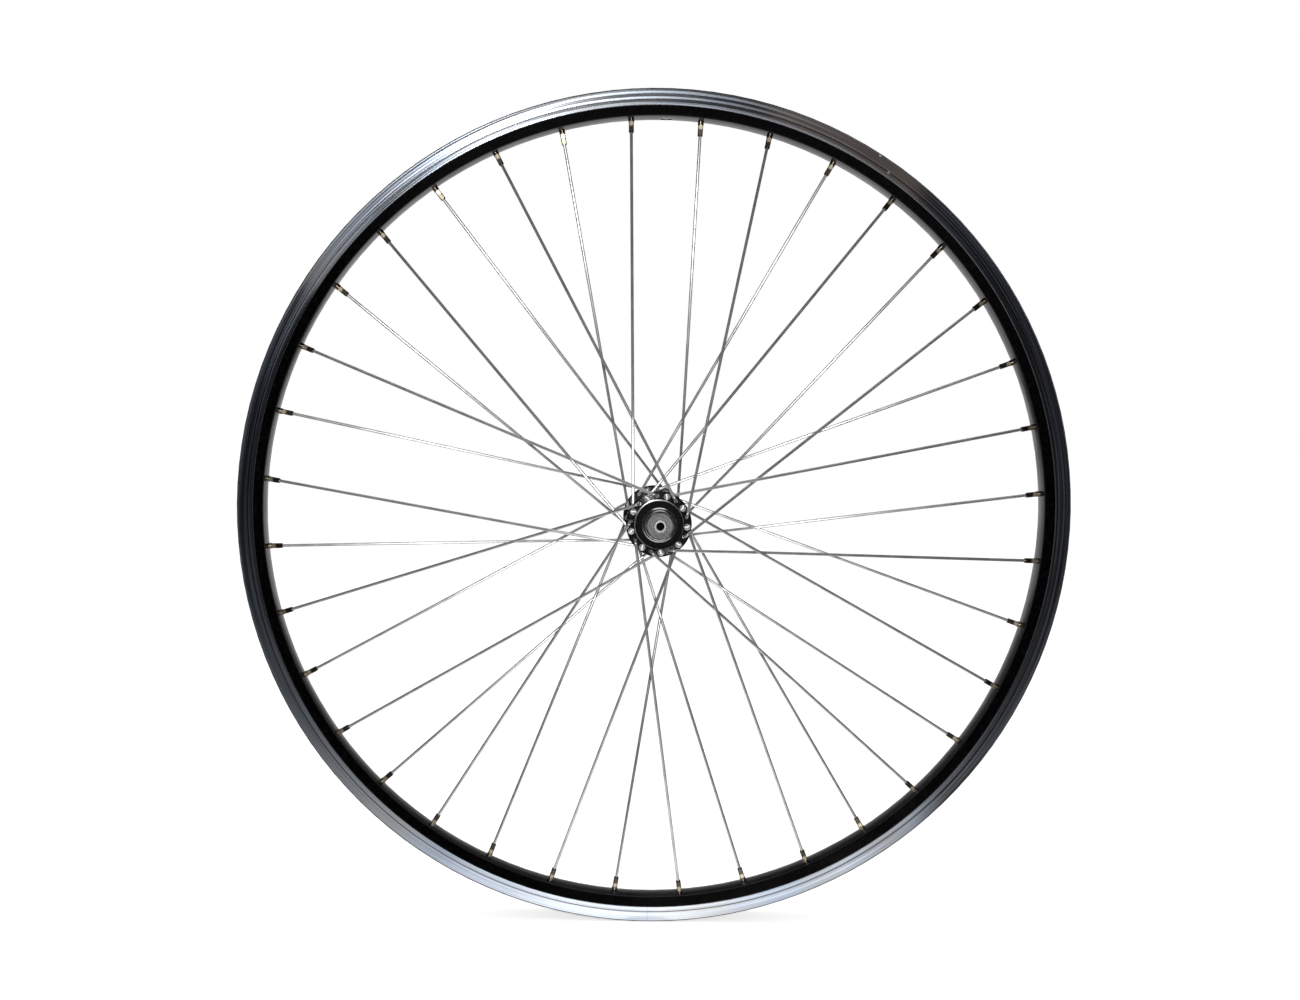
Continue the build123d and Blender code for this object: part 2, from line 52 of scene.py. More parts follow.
# Rim: a hollow aluminium extrusion rolled into a hoop, joined opposite the valve and anodised black.
# Both brake tracks are then turned bare on a lathe, which leaves fine grooves round the wheel.
RIM_HALF_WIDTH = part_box("rim")[1].y
ACROSS_AXLE = (1, 0, 1)
ACROSS_UPRIGHT = (1, 1, 0)
TRACK_INNER_R = 0.2746
TRACK_OUTER_R = 0.2846
TRACK_EDGE = 0.0002
TRACK_FLATNESS = 0.00006
GROOVE_DEPTH = 0.0005
GROOVE_SHADE_GREY = (0.26, 0.26, 0.27, 1)
BARE_ALUMINIUM_BRIGHT = (0.68, 0.76, 0.88, 1)
WARM_TINT = (0.52, 0.50, 0.46, 1)
COLD_TINT = (0.37, 0.43, 0.54, 1)
TINT_RUN = 3.0
TINT_RANGE = (0.38, 0.62)
LINE_DETAIL = 3.0
TURNING_LINES = (7000, 5)
TURNING_LINE_RANGE = (0.3, 0.72)
TURNING_LINE_TONE = (0.0, 0.5)
TURNING_RELIEF = (0.00001, 0.3)
PAD_STREAKS = (800, 1.6)
PAD_STREAK_RANGE = (0.35, 0.65)
PAD_STREAK_TONE = (-0.1, 0.6)
PAD_STREAK_ROUGHNESS = (0.10, 0.23)
SMEAR_CLOUD = (26.0, 3.0)
SMEAR_RANGE = (0.3, 0.7)
SMEAR_TONE = (-0.18, 0.18)
NICK_SPACING = 0.016
NICK_SIZE = 0.035
NICK_SHARE = 0.22
DING_PLACES = ((0.1422, -0.01225, 0.2461), (0.1481, -0.01225, 0.2353))
DING_R = 0.0011
DING_ROUGHNESS = 0.6
SCORE_R = 0.2769
SCORE_HALF_WIDTH = 0.00022
SCORE_TONE = -0.5
SEAM_HALF_WIDTH = 0.00008
SEAM_SHADE = 0.6
BLACK_ANODISING = (0.0008, 0.0007, 0.0010, 1)
ANODISING_DUST = (0.0040, 0.0036, 0.0042, 1)
ANODISING_ROUGHNESS = (0.18, 0.26)
DUST_CLOUD = (320.0, 4.0)
DUST_RANGE = (0.5, 0.8)
VALVE_HOLE_R = 0.00425
DRILLED_EDGE = (0.46, 0.45, 0.45, 1)
BED_EDGE_R = 0.2694
BED_EDGE_FADE = 0.0006
BED_SHEEN = (0.064, 0.058, 0.063, 1)


def new_finish(name, sockets):
    """A material with these values on its shader's own sockets, and that shader."""
    finish = bpy.data.materials.new(name)
    finish.use_nodes = True
    shader = finish.node_tree.nodes["Principled BSDF"]
    for socket, value in sockets.items():
        shader.inputs[socket].default_value = value
    return finish, shader


def shade(finish, kind, inputs, output=0, **settings):
    """One output of a new shader node. Each input is a value, or an output of another node."""
    made = finish.node_tree.nodes.new("ShaderNode" + kind)
    for name, value in settings.items():
        setattr(made, name, value)
    for socket, value in inputs.items():
        if isinstance(value, bpy.types.NodeSocket):
            finish.node_tree.links.new(value, made.inputs[socket])
        else:
            made.inputs[socket].default_value = value
    return made.outputs[output]


def feed(finish, shader, **outputs):
    """Links outputs to the shader's sockets, whose names are given with _ for spaces."""
    for socket, output in outputs.items():
        finish.node_tree.links.new(output, shader.inputs[socket.replace("_", " ")])


def calculate(finish, operation, *values):
    """A sum, product, power or the like of values and outputs."""
    return shade(finish, "Math", dict(enumerate(values)), operation=operation)


def between(finish, value, low, high, at_low=0.0, at_high=1.0):
    """A clamped change from at_low, where value is low, to at_high, where it is high."""
    limits = {"From Min": low, "From Max": high, "To Min": at_low, "To Max": at_high}
    return shade(finish, "MapRange", {"Value": value, **limits})


def two_tone(finish, share, first, second):
    """The first colour where share is 0 and the second where it is 1."""
    return shade(finish, "Mix", {0: share, 6: first, 7: second}, output=2, data_type="RGBA")


def two_level(finish, share, first, second):
    """The first value where share is 0 and the second where it is 1."""
    return shade(finish, "Mix", {0: share, 2: first, 3: second})


def cloud(finish, place, scale, detail=2.0):
    """Soft noise from 0 to 1 with about this many blotches to the metre, and finer ones by detail."""
    return shade(finish, "TexNoise", {"Vector": place, "Scale": scale, "Detail": detail})


def relief(finish, shader, height, depth, strength):
    """Raises the surface by depth in metres where height is 1, for the light alone."""
    bump = {"Height": height, "Distance": depth, "Strength": strength}
    feed(finish, shader, Normal=shade(finish, "Bump", bump))


def object_place(finish):
    """The place on the piece, from the wheel's centre."""
    return shade(finish, "TexCoord", {}, output="Object")


def coordinate(finish, place, axis):
    """The X, Y or Z of a place."""
    return shade(finish, "SeparateXYZ", {"Vector": place}, output=axis)


def off_axis(finish, place, across):
    """The part of a place that lies across an axis, and how far from the axis that is."""
    away = shade(finish, "VectorMath", {0: place, 1: across}, operation="MULTIPLY")
    return away, shade(finish, "VectorMath", {0: away}, output="Value", operation="LENGTH")


def round_the_axle(finish):
    """The place on a piece as it was turned: object place, radius and direction from the axle."""
    place = object_place(finish)
    away, radius = off_axis(finish, place, ACROSS_AXLE)
    heading = shade(finish, "VectorMath", {0: away}, operation="NORMALIZE")
    return place, radius, heading


def turned_lines(finish, radius, heading, per_metre, run):
    """Fine lines that a lathe leaves round the axle, each dying away within part of a turn."""
    along = shade(finish, "VectorMath", {0: heading, 3: run}, operation="SCALE")
    across = shade(finish, "CombineXYZ", {1: calculate(finish, "MULTIPLY", radius, per_metre)})
    place = shade(finish, "VectorMath", {0: along, 1: across}, operation="ADD")
    return cloud(finish, place, 1.0, LINE_DETAIL)


def nick_marks(finish, place, spacing, size, share):
    """1 inside small nicks and 0 elsewhere. This share of the cells has one, sized as a part of a cell."""
    cells = {"Vector": place, "Scale": 1 / spacing}
    from_middle = shade(finish, "TexVoronoi", cells, output="Distance")
    chance = shade(finish, "SeparateColor", {"Color": shade(finish, "TexVoronoi", cells, output="Color")})
    inside = between(finish, from_middle, size, size / 2)
    return calculate(finish, "MULTIPLY", inside, calculate(finish, "LESS_THAN", chance, share))


def give_finish(node, finish):
    """Gives a CAD node this finish alone."""
    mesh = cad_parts[node].data
    mesh.materials.clear()
    mesh.materials.append(finish)


rim_finish, rim_shader = new_finish(
    "black_rim_with_bare_tracks",
    {"Anisotropic": 0.95, "Anisotropic Rotation": 0.25, "IOR": 1.15},
)
place, radius, heading = round_the_axle(rim_finish)
height = coordinate(rim_finish, place, "Z")

off_middle = calculate(rim_finish, "ABSOLUTE", coordinate(rim_finish, place, "Y"))
face_low = RIM_HALF_WIDTH - TRACK_FLATNESS
face_high = RIM_HALF_WIDTH - TRACK_FLATNESS / 3
on_face = between(rim_finish, off_middle, face_low, face_high)
turned_side = calculate(rim_finish, "GREATER_THAN", off_middle, RIM_HALF_WIDTH - GROOVE_DEPTH)
past_step = between(rim_finish, radius, TRACK_INNER_R, TRACK_INNER_R + TRACK_EDGE)
# Past TRACK_OUTER_R the lip is left black anodised. The band is set a little wider than the turned edge, as
# painted shade: a dark line along the lip.
below_lip = between(rim_finish, radius, TRACK_OUTER_R + TRACK_EDGE, TRACK_OUTER_R)
on_ring = calculate(rim_finish, "MULTIPLY", past_step, below_lip)
on_track = calculate(rim_finish, "MULTIPLY", turned_side, on_ring)
beside_seam = calculate(rim_finish, "ABSOLUTE", coordinate(rim_finish, place, "X"))
seam_line = calculate(rim_finish, "LESS_THAN", beside_seam, SEAM_HALF_WIDTH)
seam = calculate(rim_finish, "MULTIPLY", seam_line, calculate(rim_finish, "LESS_THAN", height, 0.0))
bare = calculate(rim_finish, "SUBTRACT", on_track, calculate(rim_finish, "MULTIPLY", seam, SEAM_SHADE))

lines = turned_lines(rim_finish, radius, heading, *TURNING_LINES)
streaks = turned_lines(rim_finish, radius, heading, *PAD_STREAKS)
smears = cloud(rim_finish, place, *SMEAR_CLOUD)
off_score = calculate(rim_finish, "ABSOLUTE", calculate(rim_finish, "SUBTRACT", radius, SCORE_R))
track_tone = between(rim_finish, lines, *TURNING_LINE_RANGE, *TURNING_LINE_TONE)
for mark in (
    between(rim_finish, streaks, *PAD_STREAK_RANGE, *PAD_STREAK_TONE),
    between(rim_finish, smears, *SMEAR_RANGE, *SMEAR_TONE),
    nick_marks(rim_finish, place, NICK_SPACING, NICK_SIZE, NICK_SHARE),
    between(rim_finish, off_score, SCORE_HALF_WIDTH, SCORE_HALF_WIDTH / 2, 0.0, SCORE_TONE),
):
    track_tone = calculate(rim_finish, "ADD", track_tone, mark)
tint_place = shade(rim_finish, "VectorMath", {0: heading, 3: TINT_RUN}, operation="SCALE")
tint_share = between(rim_finish, cloud(rim_finish, tint_place, 1.0), *TINT_RANGE)
dull_colour = two_tone(rim_finish, tint_share, WARM_TINT, COLD_TINT)
flat_colour = two_tone(rim_finish, track_tone, dull_colour, BARE_ALUMINIUM_BRIGHT)
# In the wear groove and on the other unflat parts of the turned side the track is a darker grey: painted
# shade in the groove.
track_colour = two_tone(rim_finish, on_face, GROOVE_SHADE_GREY, flat_colour)

dusting = between(rim_finish, cloud(rim_finish, place, *DUST_CLOUD), *DUST_RANGE)
black_colour = two_tone(rim_finish, dusting, BLACK_ANODISING, ANODISING_DUST)
on_bed = between(rim_finish, radius, BED_EDGE_R, BED_EDGE_R - BED_EDGE_FADE)
sheen_colour = two_tone(rim_finish, on_bed, black_colour, BED_SHEEN)
off_valve_axis = off_axis(rim_finish, place, ACROSS_UPRIGHT)[1]
in_valve_hole = calculate(rim_finish, "LESS_THAN", off_valve_axis, VALVE_HOLE_R + TRACK_EDGE)
on_top = calculate(rim_finish, "GREATER_THAN", height, 0.0)
drilled = calculate(rim_finish, "MULTIPLY", in_valve_hole, on_top)
black_parts = two_tone(rim_finish, drilled, sheen_colour, DRILLED_EDGE)

track_roughness = between(rim_finish, streaks, *PAD_STREAK_RANGE, *PAD_STREAK_ROUGHNESS)
black_roughness = between(rim_finish, smears, *SMEAR_RANGE, *ANODISING_ROUGHNESS)
roughness = two_level(rim_finish, bare, black_roughness, track_roughness)
for spot in DING_PLACES:
    away = shade(rim_finish, "VectorMath", {0: place, 1: spot}, output="Value", operation="DISTANCE")
    dinged = between(rim_finish, away, DING_R, DING_R / 2)
    roughness = two_level(rim_finish, dinged, roughness, DING_ROUGHNESS)
feed(
    rim_finish, rim_shader,
    Base_Color=two_tone(rim_finish, bare, black_parts, track_colour),
    Metallic=calculate(rim_finish, "MAXIMUM", bare, on_bed),
    Roughness=roughness,
    Tangent=shade(rim_finish, "Tangent", {}, direction_type="RADIAL", axis="Y"),
)
relief(rim_finish, rim_shader, calculate(rim_finish, "MULTIPLY", lines, bare), *TURNING_RELIEF)
give_finish("rim", rim_finish)

# Hub shell: one aluminium forging, turned and bored, with both flanges drilled for the spokes.
# It is lacquered gloss black, rubbed where the spokes bed in, with a bright ring turned beside each seal.
HUB_BLACK = (0.006, 0.006, 0.007, 1)
HUB_RUBBED = (0.10, 0.10, 0.105, 1)
SPOKE_CIRCLE_R = 0.019
RUB_REACH = 0.0024
RUB_METAL = 0.8
SCUFF_CLOUD = (900.0, 4.0)
SCUFF_RANGE = (0.56, 0.66)
HUB_LINES = (5000, 3)
HUB_LINE_RANGE = (0.25, 0.75)
LACQUER_ROUGHNESS = (0.14, 0.28)
LACQUER_RELIEF = (0.00001, 0.3)
BRIGHT_RING = (0.70, 0.70, 0.71, 1)
BRIGHT_RING_R = 0.0168
BRIGHT_RING_EDGE = 0.0001
BRIGHT_RING_ROUGHNESS = 0.26
FLANGE_FACE_Y = 0.03662
FLANGE_FACE_EDGE = 0.00004
hub_finish, hub_shader = new_finish(
    "gloss_black_hub",
    {
        "Coat Weight": 0.25,
        "Coat Roughness": 0.08,
        "IOR": 1.2,
        "Anisotropic": 0.9,
        "Anisotropic Rotation": 0.25,
    },
)
place, radius, heading = round_the_axle(hub_finish)
off_circle = calculate(hub_finish, "ABSOLUTE", calculate(hub_finish, "SUBTRACT", radius, SPOKE_CIRCLE_R))
near_spokes = between(hub_finish, off_circle, RUB_REACH, 0.0)
scuffs = between(hub_finish, cloud(hub_finish, place, *SCUFF_CLOUD), *SCUFF_RANGE)
rubbed = calculate(hub_finish, "MULTIPLY", near_spokes, scuffs)
lacquer = two_tone(hub_finish, rubbed, HUB_BLACK, HUB_RUBBED)
rubbed_metal = calculate(hub_finish, "MULTIPLY", rubbed, RUB_METAL)
along_axle = calculate(hub_finish, "ABSOLUTE", coordinate(hub_finish, place, "Y"))
off_flange = between(hub_finish, along_axle, FLANGE_FACE_Y, FLANGE_FACE_Y + FLANGE_FACE_EDGE)
near_seal = between(hub_finish, radius, BRIGHT_RING_R, BRIGHT_RING_R - BRIGHT_RING_EDGE)
turned_bright = calculate(hub_finish, "MULTIPLY", off_flange, near_seal)
hub_lines = turned_lines(hub_finish, radius, heading, *HUB_LINES)
lacquer_roughness = between(hub_finish, hub_lines, *HUB_LINE_RANGE, *LACQUER_ROUGHNESS)
feed(
    hub_finish, hub_shader,
    Base_Color=two_tone(hub_finish, turned_bright, lacquer, BRIGHT_RING),
    Metallic=calculate(hub_finish, "MAXIMUM", rubbed_metal, turned_bright),
    Roughness=two_level(hub_finish, turned_bright, lacquer_roughness, BRIGHT_RING_ROUGHNESS),
    Tangent=shade(hub_finish, "Tangent", {}, direction_type="RADIAL", axis="Y"),
)
relief(hub_finish, hub_shader, hub_lines, *LACQUER_RELIEF)
give_finish("hub_shell", hub_finish)

# Bearings: hardened steel cups pressed into the shell, loose balls in grease, and ground cones.
# Pressed sheet-steel caps close the shell around the cones.
RACE_STEEL = (0.62, 0.62, 0.63, 1)
GREASE_FILM = (0.30, 0.25, 0.15, 1)
FILM_CLOUD = (420.0, 3.0)
FILM_RANGE = (0.42, 0.62)
FILM_ROUGHNESS = (0.12, 0.34)
FILM_RELIEF = (0.00002, 0.4)
CAP_STEEL = (0.33, 0.33, 0.34, 1)
CAP_STAIN = (0.16, 0.155, 0.15, 1)
CAP_STAINS_PER_METRE = 300.0
CAP_LINES = (3000, 4)
CAP_LINE_RANGE = (0.2, 0.8)
CAP_ROUGHNESS = (0.28, 0.5)
CAP_RELIEF = (0.00002, 0.4)
bearing_finish, bearing_shader = new_finish("greased_bearing_steel", {"Metallic": 1.0})
film_patches = cloud(bearing_finish, object_place(bearing_finish), *FILM_CLOUD)
film = between(bearing_finish, film_patches, *FILM_RANGE)
feed(
    bearing_finish, bearing_shader,
    Base_Color=two_tone(bearing_finish, film, RACE_STEEL, GREASE_FILM),
    Roughness=between(bearing_finish, film, 0.0, 1.0, *FILM_ROUGHNESS),
)
relief(bearing_finish, bearing_shader, film, *FILM_RELIEF)
cap_finish, cap_shader = new_finish("pressed_cap_steel", {"Metallic": 1.0})
place, radius, heading = round_the_axle(cap_finish)
cap_lines = turned_lines(cap_finish, radius, heading, *CAP_LINES)
cap_stains = cloud(cap_finish, place, CAP_STAINS_PER_METRE)
feed(
    cap_finish, cap_shader,
    Base_Color=two_tone(cap_finish, cap_stains, CAP_STEEL, CAP_STAIN),
    Roughness=between(cap_finish, cap_lines, *CAP_LINE_RANGE, *CAP_ROUGHNESS),
)
relief(cap_finish, cap_shader, cap_lines, *CAP_RELIEF)
for side in ("left", "right"):
    give_finish(f"{side}_bearing_cup", bearing_finish)
    give_finish(f"{side}_bearing_balls", bearing_finish)
    give_finish(f"{side}_cone", bearing_finish)
    give_finish(f"{side}_dust_cap", cap_finish)

# Axle: a hollow steel rod, threaded from each end and faced on the lathe, with a thin zinc coat.
# Its bare ends rest in the fork, so their threads are the ones that show.
AXLE_STEEL = (0.32, 0.32, 0.315, 1)
AXLE_SHADE = (0.19, 0.187, 0.184, 1)
AXLE_R = 0.0045
AXLE_LINES = (9000, 3)
AXLE_RELIEF = (0.00002, 0.4)
ZINC_CLOUD = (700.0, 3.0)
ZINC_RANGE = (0.3, 0.7)
ZINC_ROUGHNESS = (0.2, 0.36)
ZINC_METAL = 0.6
BORE_R = 0.00265
BORE_EDGE = 0.0001
# Inside the hollow axle the bore is painted near black: painted shade in the hole.
BORE_PAINTED_SHADE = (0.0015, 0.0015, 0.0015, 1)
BORE_ROUGHNESS = 0.95
THREAD_PITCH = 0.001
THREAD_ROOT_DEPTH = 0.00012
THREAD_CREST = 0.0001
THREAD_CREST_WIDTH = 0.00012
THREAD_STEPS_A_TURN = 48
THREAD_NUT_GAP = 0.0007
THREAD_END_GAP = 0.00112
axle_finish, axle_shader = new_finish("zinc_coated_axle_steel", {})
place, radius, heading = round_the_axle(axle_finish)
axle_lines = turned_lines(axle_finish, radius, heading, *AXLE_LINES)
outside = between(axle_finish, radius, BORE_R, BORE_R + BORE_EDGE)
zinc_colour = two_tone(axle_finish, axle_lines, AXLE_SHADE, AXLE_STEEL)
zinc_patches = cloud(axle_finish, place, *ZINC_CLOUD)
zinc_roughness = between(axle_finish, zinc_patches, *ZINC_RANGE, *ZINC_ROUGHNESS)
feed(
    axle_finish, axle_shader,
    Base_Color=two_tone(axle_finish, outside, BORE_PAINTED_SHADE, zinc_colour),
    Metallic=between(axle_finish, outside, 0.0, 1.0, 0.0, ZINC_METAL),
    Roughness=two_level(axle_finish, outside, BORE_ROUGHNESS, zinc_roughness),
)
relief(axle_finish, axle_shader, axle_lines, *AXLE_RELIEF)
give_finish("axle", axle_finish)


def built_mesh(name, points, faces, finish):
    """A new object of these points and faces in one finish."""
    mesh = bpy.data.meshes.new(name)
    mesh.from_pydata(points, [], faces)
    mesh.materials.append(finish)
    made = bpy.data.objects.new(name, mesh)
    bpy.context.scene.collection.objects.link(made)
    return made


def thread_ridge(name, start_y, end_y):
    """The crest of a screw thread that winds along the axle between two places."""
    length = abs(end_y - start_y)
    way = 1 if end_y > start_y else -1
    steps = round(length / THREAD_PITCH * THREAD_STEPS_A_TURN)
    section = [
        (AXLE_R - THREAD_ROOT_DEPTH, -THREAD_PITCH / 2),
        (AXLE_R + THREAD_CREST, -THREAD_CREST_WIDTH / 2),
        (AXLE_R + THREAD_CREST, THREAD_CREST_WIDTH / 2),
        (AXLE_R - THREAD_ROOT_DEPTH, THREAD_PITCH / 2),
    ]
    points = []
    faces = []
    for step in range(steps + 1):
        angle = 2 * pi * step / THREAD_STEPS_A_TURN
        y = start_y + way * length * step / steps
        for section_r, along in section:
            points.append((section_r * cos(angle), y + along, way * section_r * sin(angle)))
        if step:
            new = len(section) * step
            old = new - len(section)
            for corner in range(len(section) - 1):
                faces.append((old + corner, old + corner + 1, new + corner + 1, new + corner))
    ridge = built_mesh(name, points, faces, axle_finish)
    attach(ridge, "axle_set")


axle_low, axle_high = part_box("axle")
for side, way in (("left", -1), ("right", 1)):
    nut_low, nut_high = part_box(f"{side}_locknut")
    nut_face = max(way * nut_low.y, way * nut_high.y)
    axle_end = max(way * axle_low.y, way * axle_high.y)
    thread_start = way * (nut_face + THREAD_NUT_GAP)
    thread_end = way * (axle_end - THREAD_END_GAP)
    thread_ridge(f"{side}_axle_thread", thread_start, thread_end)

# Seals: moulded black rubber caps stretched over the cones, just clear of the turning shell.
# A thin steel ring moulded into the step of each keeps its shape.
SEAL_BLACK = (0.0014, 0.0014, 0.0016, 1)
SEAL_DUST = (0.0042, 0.0042, 0.0041, 1)
RUBBER_CLOUD = (5200.0, 3.0)
RUBBER_RANGE = (0.2, 0.8)
RUBBER_ROUGHNESS = (0.36, 0.5)
RUBBER_RELIEF = (0.00003, 0.5)
BLOOM_CLOUD = (260.0, 4.0)
BLOOM_RANGE = (0.52, 0.75)
SEAL_RING_STEEL = (0.80, 0.80, 0.80, 1)
SEAL_RING_INNER_R = 0.01075
SEAL_RING_OUTER_R = 0.01155
SEAL_RING_EDGE = 0.00008
SEAL_RING_ROUGHNESS = 0.22
seal_finish, seal_shader = new_finish("black_seal_rubber", {"IOR": 1.12})
place = object_place(seal_finish)
radius = off_axis(seal_finish, place, ACROSS_AXLE)[1]
grain = cloud(seal_finish, place, *RUBBER_CLOUD)
bloom = between(seal_finish, cloud(seal_finish, place, *BLOOM_CLOUD), *BLOOM_RANGE)
past_inner = between(seal_finish, radius, SEAL_RING_INNER_R, SEAL_RING_INNER_R + SEAL_RING_EDGE)
within_outer = between(seal_finish, radius, SEAL_RING_OUTER_R, SEAL_RING_OUTER_R - SEAL_RING_EDGE)
on_steel = calculate(seal_finish, "MULTIPLY", past_inner, within_outer)
rubber_colour = two_tone(seal_finish, bloom, SEAL_BLACK, SEAL_DUST)
rubber_roughness = between(seal_finish, grain, *RUBBER_RANGE, *RUBBER_ROUGHNESS)
feed(
    seal_finish, seal_shader,
    Base_Color=two_tone(seal_finish, on_steel, rubber_colour, SEAL_RING_STEEL),
    Metallic=on_steel,
    Roughness=two_level(seal_finish, on_steel, rubber_roughness, SEAL_RING_ROUGHNESS),
)
relief(seal_finish, seal_shader, grain, *RUBBER_RELIEF)
for side in ("left", "right"):
    give_finish(f"{side}_rubber_seal", seal_finish)

# Locknuts and washers: steel nuts with dull zinc plating, tightened against the cones on black washers.
# Each nut's face has radial teeth that bite into the fork end; each washer's bevel is turned bright.
NUT_ZINC = (0.09, 0.09, 0.088, 1)
NUT_WORN = (0.16, 0.158, 0.154, 1)
NUT_PATCH_CLOUD = (640.0, 4.0)
NUT_PATCH_RANGE = (0.35, 0.65)
NUT_ROUGHNESS = (0.3, 0.46)
NUT_RELIEF = (0.00003, 0.5)
FACING_LINES = (7000, 3)
FACING_LINE_RANGE = (0.25, 0.75)
WASHER_BLACK = (0.010, 0.010, 0.011, 1)
WASHER_BEVEL = (0.74, 0.74, 0.74, 1)
WASHER_ROUGHNESS = (0.26, 0.42)
WASHER_RELIEF = (0.00002, 0.4)
BEVEL_INNER_R = 0.00945
BEVEL_EDGE = 0.0001
TOOTH_COUNT = 30
TOOTH_INNER_R = 0.0054
TOOTH_OUTER_R = 0.0079
TOOTH_HALF_WIDTH = 0.45
TOOTH_HEIGHT = 0.0001
TOOTH_SINK = 0.00005
nut_finish, nut_shader = new_finish("dull_zinc_nut_steel", {"Metallic": 0.35})
place, radius, heading = round_the_axle(nut_finish)
patches = between(nut_finish, cloud(nut_finish, place, *NUT_PATCH_CLOUD), *NUT_PATCH_RANGE)
nut_lines = turned_lines(nut_finish, radius, heading, *FACING_LINES)
feed(
    nut_finish, nut_shader,
    Base_Color=two_tone(nut_finish, patches, NUT_ZINC, NUT_WORN),
    Roughness=between(nut_finish, nut_lines, *FACING_LINE_RANGE, *NUT_ROUGHNESS),
)
relief(nut_finish, nut_shader, nut_lines, *NUT_RELIEF)
washer_finish, washer_shader = new_finish("black_washer_with_bright_bevel", {"IOR": 1.15})
place, radius, heading = round_the_axle(washer_finish)
on_bevel = between(washer_finish, radius, BEVEL_INNER_R, BEVEL_INNER_R + BEVEL_EDGE)
washer_lines = turned_lines(washer_finish, radius, heading, *FACING_LINES)
feed(
    washer_finish, washer_shader,
    Base_Color=two_tone(washer_finish, on_bevel, WASHER_BLACK, WASHER_BEVEL),
    Metallic=on_bevel,
    Roughness=between(washer_finish, washer_lines, *FACING_LINE_RANGE, *WASHER_ROUGHNESS),
)
relief(washer_finish, washer_shader, washer_lines, *WASHER_RELIEF)


def tooth_ring(name, face_y, way):
    """Radial teeth on a locknut's face, each a ridge with sloping sides, sunk a little into the nut."""
    pitch = 2 * pi / TOOTH_COUNT
    section = ((-TOOTH_HALF_WIDTH, -TOOTH_SINK), (0.0, TOOTH_HEIGHT), (TOOTH_HALF_WIDTH, -TOOTH_SINK))
    points = []
    faces = []
    for tooth in range(TOOTH_COUNT):
        middle = pitch * tooth
        first = len(points)
        for end_r in (TOOTH_INNER_R, TOOTH_OUTER_R):
            for turn, rise in section:
                angle = middle + turn * pitch
                points.append((end_r * cos(angle), face_y + way * rise, end_r * sin(angle)))
        faces.append((first, first + 1, first + 4, first + 3))
        faces.append((first + 1, first + 2, first + 5, first + 4))
        faces.append((first, first + 2, first + 1))
        faces.append((first + 3, first + 4, first + 5))
        faces.append((first, first + 3, first + 5, first + 2))
    if way > 0:
        faces = [face[::-1] for face in faces]
    teeth = built_mesh(name, points, faces, nut_finish)
    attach(teeth, "axle_set")


for side, way in (("left", -1), ("right", 1)):
    give_finish(f"{side}_lock_washer", washer_finish)
    give_finish(f"{side}_locknut", nut_finish)
    nut_low, nut_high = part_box(f"{side}_locknut")
    tooth_ring(f"{side}_locknut_teeth", nut_high.y if way > 0 else nut_low.y, way)

# Spokes: drawn stainless wire, headed and bent at the hub and threaded at the rim.
# The wire is bright, with faint drawing lines and dull spots. Where a spoke's head is outside its flange,
# the forged end is brighter still.
WIRE_BRIGHT = (0.68, 0.68, 0.67, 1)
WIRE_DULL = (0.51, 0.51, 0.50, 1)
WIRE_GRAIN = 0.87
WIRE_ROUGHNESS = 0.32
DULL_SPOT_CLOUD = (90.0, 4.0)
DULL_SPOT_RANGE = (0.4, 0.66)
DRAWING_CLOUD = (2600.0, 2.0)
DRAWING_RANGE = (0.25, 0.75)
DRAWING_SPREAD = 0.1
DRAWING_RELIEF = (0.000005, 0.15)
FORGED_BRIGHT = (0.92, 0.92, 0.92, 1)
FORGED_REACH_R = 0.0216
FORGED_FADE = 0.0004
FORGED_ROUGHNESS = 0.45
SPOKE_LINE_R = 0.01703
SPOKE_COUNT = 36
SPOKE_KINDS = 4


def in_the_world(finish, way):
    """A direction on the piece, turned with the piece for the shader."""
    return shade(finish, "VectorTransform", {"Vector": way}, convert_from="OBJECT", convert_to="WORLD")


def drawn_wire(name, lean, head_colour, head_roughness):
    """Wire with its drawing lines along it. Lean says on which side of the axle the spoke's line passes."""
    grain = {"Metallic": 0.8, "Anisotropic": WIRE_GRAIN, "Anisotropic Rotation": 0.25}
    finish, shader = new_finish(name, grain)
    place, radius, heading = round_the_axle(finish)
    dull_spots = between(finish, cloud(finish, place, *DULL_SPOT_CLOUD), *DULL_SPOT_RANGE)
    wire_colour = two_tone(finish, dull_spots, WIRE_BRIGHT, WIRE_DULL)
    drawing = cloud(finish, place, *DRAWING_CLOUD)
    smoothest = WIRE_ROUGHNESS * (1 - DRAWING_SPREAD)
    roughest = WIRE_ROUGHNESS * (1 + DRAWING_SPREAD)
    wire_roughness = between(finish, drawing, *DRAWING_RANGE, smoothest, roughest)
    forged = between(finish, radius, FORGED_REACH_R, FORGED_REACH_R - FORGED_FADE)
    turn = calculate(finish, "ARCSINE", calculate(finish, "DIVIDE", lean * SPOKE_LINE_R, radius))
    along = shade(finish, "VectorRotate", {"Vector": heading, "Angle": turn}, rotation_type="Y_AXIS")
    feed(
        finish, shader,
        Base_Color=two_tone(finish, forged, wire_colour, head_colour),
        Roughness=two_level(finish, forged, wire_roughness, head_roughness),
        Tangent=in_the_world(finish, along),
    )
    relief(finish, shader, drawing, *DRAWING_RELIEF)
    return finish


head_out_wire = drawn_wire("spoke_wire_head_outside", 1, FORGED_BRIGHT, FORGED_ROUGHNESS)
head_in_wire = drawn_wire("spoke_wire_head_inside", -1, WIRE_DULL, WIRE_ROUGHNESS)
for number in range(SPOKE_COUNT):
    trailing = number % SPOKE_KINDS < SPOKE_KINDS / 2
    give_finish(f"spoke_{number + 1:02d}", head_out_wire if trailing else head_in_wire)
